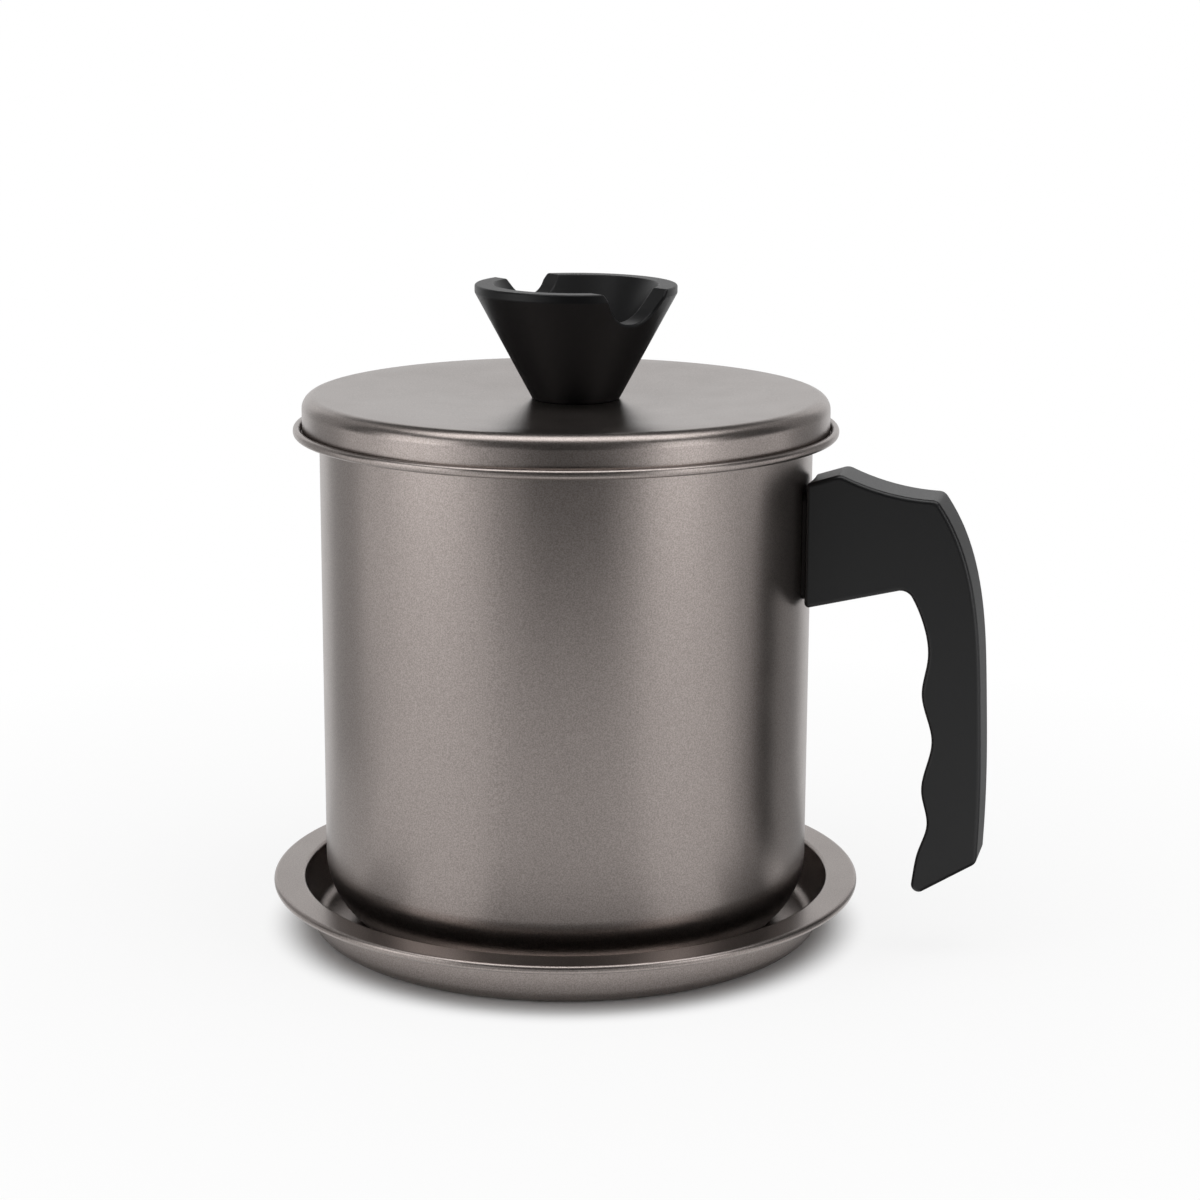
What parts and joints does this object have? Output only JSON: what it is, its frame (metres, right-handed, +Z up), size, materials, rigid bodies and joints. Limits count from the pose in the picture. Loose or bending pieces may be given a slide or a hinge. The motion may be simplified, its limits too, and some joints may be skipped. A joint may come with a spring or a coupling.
{
  "type": "oil filter pot",
  "caption": "Round oil filter pot of coated sheet steel with a side handle, a lift-out strainer, a lid with a grooved cone knob and a drip tray.",
  "frame": {"origin": "centre of the tray's underside, on the pot's axis", "axes": "+Z up along the pot's axis, +X out along the handle"},
  "size_m": [0.1849, 0.1524, 0.1668],
  "materials": {
    "grey_coated_steel": "semi-gloss baked coating with a fine metallic speckle",
    "bracket_steel": "dark coated",
    "black_phenolic": "moulded, fine matt grain",
    "zinc_plated_steel": "zinc plated",
    "stainless_steel": "satin",
    "stainless_mesh": "woven wire",
    "brass": "turned"
  },
  "bodies": {
    "tray": {"tray": "grey_coated_steel"},
    "pot": {"pot_body": "grey_coated_steel", "handle_bracket": "bracket_steel", "handle_grip": "black_phenolic", "handle_washer": "zinc_plated_steel", "handle_screw": "zinc_plated_steel"},
    "strainer": {"strainer_collar": "stainless_steel", "strainer_mesh": "stainless_mesh", "strainer_ring": "stainless_steel"},
    "lid": {"lid_shell": "grey_coated_steel", "lid_knob": "black_phenolic", "knob_insert": "brass", "knob_washer": "zinc_plated_steel", "knob_screw": "zinc_plated_steel"}
  },
  "joints": [
    {"name": "pot_lift", "type": "slide", "parent": "tray", "child": "pot", "axis": [0, 0, 1], "range_m": [0, 0.06]},
    {"name": "strainer_lift", "type": "slide", "parent": "pot", "child": "strainer", "axis": [0, 0, 1], "range_m": [0, 0.06]},
    {"name": "lid_lift", "type": "slide", "parent": "strainer", "child": "lid", "axis": [0, 0, 1], "range_m": [0, 0.06]}
  ]
}
